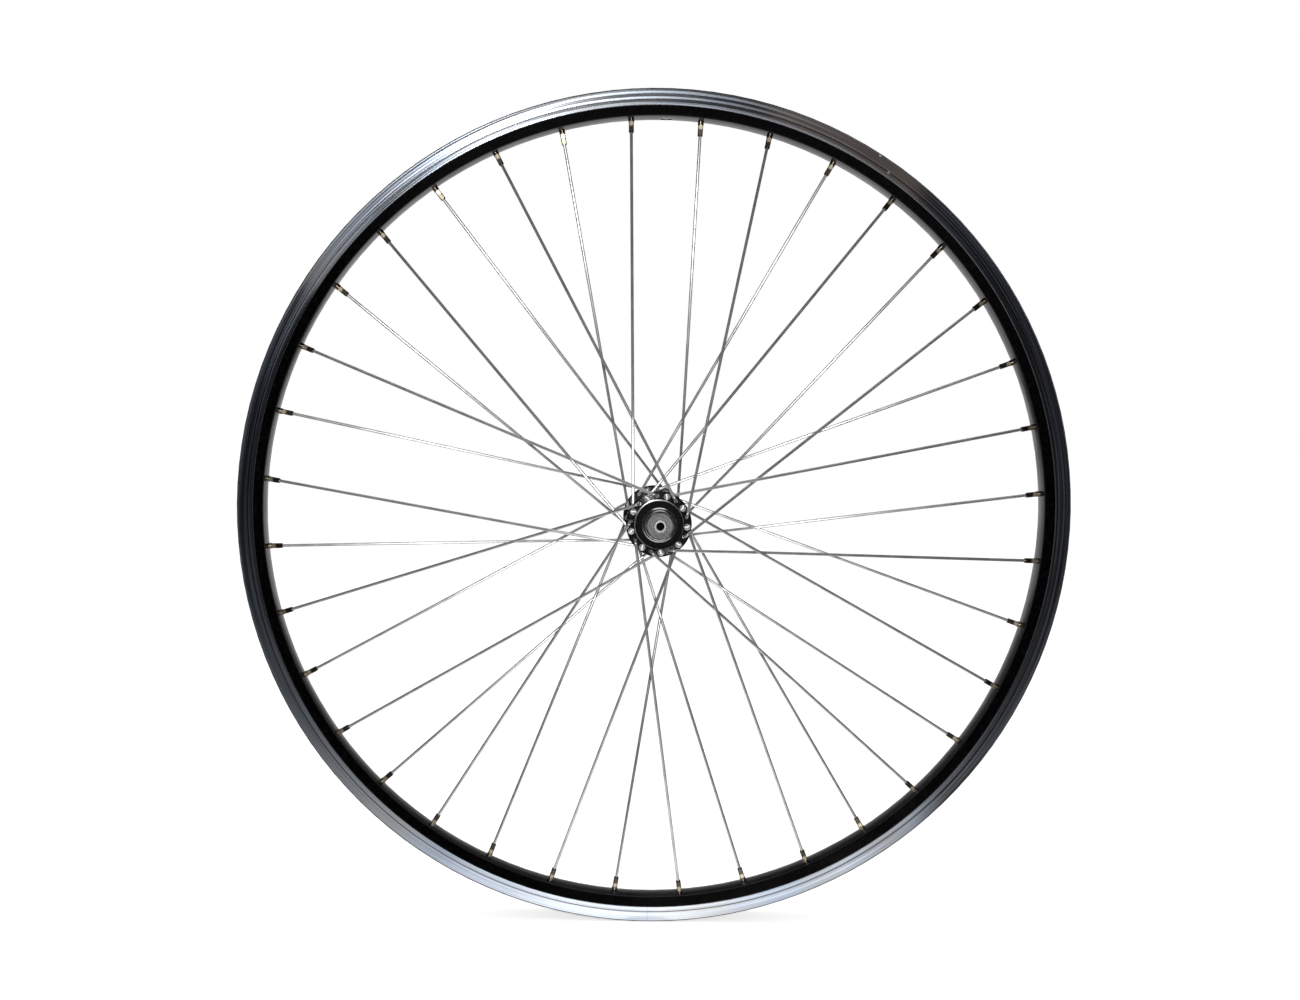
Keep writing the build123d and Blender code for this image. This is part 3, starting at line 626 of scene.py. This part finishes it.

# Nipples: turned brass with nickel plating, screwed on the spokes and seated inside the rim.
# The plating is worn to warm brass in places, and the square that the spoke key grips is painted dark:
# tarnish and painted shade.
NICKEL = (0.40, 0.35, 0.27, 1)
BARE_BRASS = (0.34, 0.25, 0.12, 1)
PLATING_CLOUD = (520.0, 3.0)
PLATING_RANGE = (0.55, 0.7)
TARNISH_AND_SHADE = (0.08, 0.068, 0.05, 1)
TARNISH_AND_SHADE_R = 0.2636
TARNISH_AND_SHADE_FADE = 0.0012
KEY_MARK_CLOUD = (3400.0, 3.0)
KEY_MARK_RANGE = (0.25, 0.75)
KEY_MARK_RELIEF = (0.00002, 0.4)
KEY_SQUARE_ROUGHNESS = (0.2, 0.3)
BARREL_ROUGHNESS = (0.32, 0.42)
nipple_finish, nipple_shader = new_finish(
    "nickel_plated_brass",
    {"Metallic": 1.0, "Anisotropic": 0.9},
)
place, radius, heading = round_the_axle(nipple_finish)
thin_plating = between(nipple_finish, cloud(nipple_finish, place, *PLATING_CLOUD), *PLATING_RANGE)
plating = two_tone(nipple_finish, thin_plating, NICKEL, BARE_BRASS)
# Towards the hub the nipple is darker: tarnish and painted shade on the key square.
off_dark_square = between(nipple_finish, radius, TARNISH_AND_SHADE_R - TARNISH_AND_SHADE_FADE / 2, TARNISH_AND_SHADE_R + TARNISH_AND_SHADE_FADE / 2)
key_marks = cloud(nipple_finish, place, *KEY_MARK_CLOUD)
square_roughness = between(nipple_finish, key_marks, *KEY_MARK_RANGE, *KEY_SQUARE_ROUGHNESS)
barrel_roughness = between(nipple_finish, key_marks, *KEY_MARK_RANGE, *BARREL_ROUGHNESS)
feed(
    nipple_finish, nipple_shader,
    Base_Color=two_tone(nipple_finish, off_dark_square, TARNISH_AND_SHADE, plating),
    Roughness=two_level(nipple_finish, off_dark_square, square_roughness, barrel_roughness),
    Tangent=in_the_world(nipple_finish, heading),
)
relief(nipple_finish, nipple_shader, key_marks, *KEY_MARK_RELIEF)
give_finish("spoke_nipples", nipple_finish)

# Floor: a wide pale sheet that the wheel stands on, out to the white all round.
# A faint glow lifts it to white for the camera and in reflections, and it keeps the wheel's shadow.
FLOOR_HALF_SIZE = 15.0
FLOOR_Z = cad_low.z
FLOOR_WHITE = (0.82, 0.82, 0.82, 1)
FLOOR_GLOW = 0.57
BACKDROP_WHITE = (1, 1, 1, 1)
ONE_FACE = [(0, 1, 2, 3)]


def seen_rays(owner):
    """1 for what the camera sees directly, in a mirror or through glass, and 0 for other light."""
    seen = shade(owner, "LightPath", {}, output="Is Camera Ray")
    for kind in ("Is Glossy Ray", "Is Transmission Ray"):
        seen = calculate(owner, "MAXIMUM", seen, shade(owner, "LightPath", {}, output=kind))
    return seen


def stage_sheet(name, points, faces, finish):
    """A sheet of the studio, which isn't part of the wheel."""
    sheet = built_mesh(name, points, faces, finish)
    return sheet


floor_finish, floor_shader = new_finish(
    "pale_floor",
    {"Base Color": FLOOR_WHITE, "Roughness": 0.9, "Emission Color": BACKDROP_WHITE},
)
glow = calculate(floor_finish, "MULTIPLY", seen_rays(floor_finish), FLOOR_GLOW)
feed(floor_finish, floor_shader, Emission_Strength=glow)
floor_points = [
    (-FLOOR_HALF_SIZE, -FLOOR_HALF_SIZE, FLOOR_Z),
    (FLOOR_HALF_SIZE, -FLOOR_HALF_SIZE, FLOOR_Z),
    (FLOOR_HALF_SIZE, FLOOR_HALF_SIZE, FLOOR_Z),
    (-FLOOR_HALF_SIZE, FLOOR_HALF_SIZE, FLOOR_Z),
]
stage_sheet("floor", floor_points, ONE_FACE, floor_finish)

# Dark room: the wheel was lit by a flash in a dark room, and its bare metal mirrors that room.
# Black flags, a card, cloths, a glowing paper on the floor and two glowing side cards stand round it for
# that.
# Only reflections show them, so they are painted reflections: dark ones, and light ones from the paper and
# side cards.
FLAG_BLACK = (0.012, 0.012, 0.015, 1)
FLAG_RADIUS = 2.6
FLAG_REACH = radians(135)
FLAG_TOP = 6.0
FLAG_STEPS = 48
PAPER_LIFT = 0.002
PAPER_EDGE_R = 0.02
PAPER_REACH = radians(130)
PAPER_LEVEL = 1.2
PAPER_FADE_R = 0.24
PAPER_FADE_POWER = 2.2
PAPER_RIGHT_X = 0.3
PAPER_RIGHT_FADE = 0.06
PAINTED_SHADOW_HALF_WIDTH = 0.12
PAINTED_SHADOW_FADE = 0.06
PAINTED_SHADOW_NEAR_R = 0.2
REAR_FLAG_Y = 2.5
REAR_FLAG_LOW = 0.1
REAR_FLAG_HALF_WIDTH = 4.0
REAR_FLAG_GREY = (0.5, 0.5, 0.5, 1)
REAR_FLAG_GREY_TOP = 0.7
REAR_FLAG_BLACK_LOW = 1.8
# The side cards glow in their own colours and only reflections see them: painted reflections in the bare
# metal.
REFLECTED_GLOW_CARDS = {
    "brown_glow_card": ((0.14, 0.098, 0.066, 1), radians(53), radians(76)),
    "pale_glow_card": ((0.24, 0.24, 0.26, 1), radians(134), radians(147)),
}
SIDE_CARD_Y = -2.0
SIDE_CARD_CENTRE = (0.106, -0.164)
SIDE_CARD_R = (0.5, 1.4)
REAR_CLOTH_NEAR_Y = 0.25
REAR_CLOTH_FAR_Y = 1.3
REAR_CLOTH_INNER_X = 0.35
REAR_CLOTH_OUTER_X = 1.5


def curved_sheet(name, reach, near_edge, far_edge, finish):
    """A sheet bent round the front of the wheel, between two edges of given radius and height."""
    points = []
    for step in range(FLAG_STEPS + 1):
        angle = reach * (2 * step / FLAG_STEPS - 1)
        for edge_r, z in (near_edge, far_edge):
            points.append((edge_r * sin(angle), -edge_r * cos(angle), z))
    faces = [(n, n + 2, n + 3, n + 1) for n in range(0, 2 * FLAG_STEPS, 2)]
    return stage_sheet(name, points, faces, finish)


paper_z = FLOOR_Z + PAPER_LIFT
flag_finish = new_finish(
    "black_flag",
    {"Base Color": FLAG_BLACK, "Roughness": 1.0, "Specular IOR Level": 0.0},
)[0]
flag = curved_sheet("flag", FLAG_REACH, (FLAG_RADIUS, paper_z), (FLAG_RADIUS, FLAG_TOP), flag_finish)

paper_finish, paper_shader = new_finish(
    "fading_paper",
    {"Base Color": FLAG_BLACK, "Emission Color": BACKDROP_WHITE},
)
place = object_place(paper_finish)
from_foot = off_axis(paper_finish, place, ACROSS_UPRIGHT)[1]
# The paper's glow falls off away from the wheel's foot: a painted pool of light.
in_fades = calculate(paper_finish, "DIVIDE", from_foot, PAPER_FADE_R)
fall = calculate(paper_finish, "ADD", calculate(paper_finish, "POWER", in_fades, PAPER_FADE_POWER), 1.0)
paper_x = coordinate(paper_finish, place, "X")
right_edge = (PAPER_RIGHT_X, PAPER_RIGHT_X - PAPER_RIGHT_FADE)
within_right = between(paper_finish, paper_x, *right_edge, 0.0, PAPER_LEVEL)
beside = calculate(paper_finish, "ABSOLUTE", paper_x)
# A strip in front of the foot is left dark: a painted shadow on the paper.
off_painted_shadow = between(paper_finish, beside, PAINTED_SHADOW_HALF_WIDTH - PAINTED_SHADOW_FADE, PAINTED_SHADOW_HALF_WIDTH)
before_painted_shadow = between(paper_finish, from_foot, PAINTED_SHADOW_NEAR_R + PAINTED_SHADOW_FADE, PAINTED_SHADOW_NEAR_R)
lit = calculate(paper_finish, "MAXIMUM", off_painted_shadow, before_painted_shadow)
level = calculate(paper_finish, "MULTIPLY", within_right, lit)
feed(paper_finish, paper_shader, Emission_Strength=calculate(paper_finish, "DIVIDE", level, fall))
paper_edges = ((PAPER_EDGE_R, paper_z), (FLAG_RADIUS, paper_z))
paper = curved_sheet("fading_paper", PAPER_REACH, *paper_edges, paper_finish)

card_finish, card_shader = new_finish("card_dark_above", {"Roughness": 1.0})
card_height = coordinate(card_finish, object_place(card_finish), "Z")
darkening = between(card_finish, card_height, REAR_FLAG_GREY_TOP, REAR_FLAG_BLACK_LOW)
feed(card_finish, card_shader, Base_Color=two_tone(card_finish, darkening, REAR_FLAG_GREY, FLAG_BLACK))
rear_points = [
    (-REAR_FLAG_HALF_WIDTH, REAR_FLAG_Y, REAR_FLAG_LOW),
    (REAR_FLAG_HALF_WIDTH, REAR_FLAG_Y, REAR_FLAG_LOW),
    (REAR_FLAG_HALF_WIDTH, REAR_FLAG_Y, FLAG_TOP),
    (-REAR_FLAG_HALF_WIDTH, REAR_FLAG_Y, FLAG_TOP),
]
rear_flag = stage_sheet("rear_flag", rear_points, ONE_FACE, card_finish)

sheets = [flag, paper, rear_flag]
centre_x, centre_z = SIDE_CARD_CENTRE
near_r, far_r = SIDE_CARD_R
for name, (colour, first_turn, last_turn) in REFLECTED_GLOW_CARDS.items():
    side_finish = new_finish(
        name,
        {"Base Color": FLAG_BLACK, "Emission Color": colour, "Emission Strength": 1.0},
    )[0]
    corners = ((first_turn, near_r), (first_turn, far_r), (last_turn, far_r), (last_turn, near_r))
    side_points = []
    for turn, edge_r in corners:
        side_points.append((centre_x + edge_r * cos(turn), SIDE_CARD_Y, centre_z + edge_r * sin(turn)))
    sheets.append(stage_sheet(name, side_points, ONE_FACE, side_finish))
for side, way in (("left", -1), ("right", 1)):
    inner_x = way * REAR_CLOTH_INNER_X
    outer_x = way * REAR_CLOTH_OUTER_X
    cloth_points = [
        (inner_x, REAR_CLOTH_NEAR_Y, paper_z),
        (outer_x, REAR_CLOTH_NEAR_Y, paper_z),
        (outer_x, REAR_CLOTH_FAR_Y, paper_z),
        (inner_x, REAR_CLOTH_FAR_Y, paper_z),
    ]
    sheets.append(stage_sheet(f"{side}_rear_cloth", cloth_points, ONE_FACE, flag_finish))
for sheet in sheets:
    sheet.visible_camera = False
    sheet.visible_diffuse = False
    sheet.visible_shadow = False

# Light: the white world at the level of a plain room, and a large soft light above.
# A small lamp beside the camera gives the highlights on the tracks, the wire and the hub.
ROOM_LIGHT = 0.55
LAMP_TARGET = (0, 0, 0)
SOFTBOX_PLACE = (-0.3, 0.2, 2.2)
SOFTBOX_SIZE = (1.4, 1.0)
SOFTBOX_WATTS = 12.0
KEY_LAMP_PLACE = (-0.022, -0.93, 0.105)
KEY_LAMP_SIZE = (0.05, 0.04)
KEY_LAMP_WATTS = 3.6
world = bpy.data.worlds.new("white_studio")
world.use_nodes = True
bpy.context.scene.world = world
background = world.node_tree.nodes["Background"]
background.inputs["Color"].default_value = BACKDROP_WHITE
feed(world, background, Strength=between(world, seen_rays(world), 0.0, 1.0, ROOM_LIGHT, 1.0))


def soft_lamp(name, place, size, watts):
    """A rectangular soft light that faces the wheel's centre."""
    lamp = bpy.data.lights.new(name, "AREA")
    lamp.shape = "RECTANGLE"
    lamp.size, lamp.size_y = size
    lamp.energy = watts
    made = bpy.data.objects.new(name, lamp)
    made.location = place
    made.rotation_euler = (Vector(LAMP_TARGET) - Vector(place)).to_track_quat("-Z", "Y").to_euler()
    bpy.context.scene.collection.objects.link(made)
    return made


softbox = soft_lamp("overhead_softbox", SOFTBOX_PLACE, SOFTBOX_SIZE, SOFTBOX_WATTS)
softbox.visible_glossy = False
soft_lamp("key_lamp", KEY_LAMP_PLACE, KEY_LAMP_SIZE, KEY_LAMP_WATTS)

# Camera: where the photograph was taken from, a little above the axle and left of it.
# Its lens shift is the photograph's own cropping.
CAMERA_PLACE = (-0.04796, -0.91002, 0.07405)
CAMERA_TURN = (radians(82.743), radians(-1.2446), radians(-1.4213))
SENSOR_WIDTH = 36.0
LENS = 36.472
LENS_SHIFT = (0.02161, 0.06084)
NEAREST_SEEN = 0.01
lens = bpy.data.cameras.new("photo_camera")
lens.sensor_width = SENSOR_WIDTH
lens.lens = LENS
lens.shift_x, lens.shift_y = LENS_SHIFT
lens.clip_start = NEAREST_SEEN
camera = bpy.data.objects.new("photo_camera", lens)
camera.location = CAMERA_PLACE
camera.rotation_euler = CAMERA_TURN
bpy.context.scene.collection.objects.link(camera)
bpy.context.scene.camera = camera
bpy.context.scene.view_settings.view_transform = "Standard"
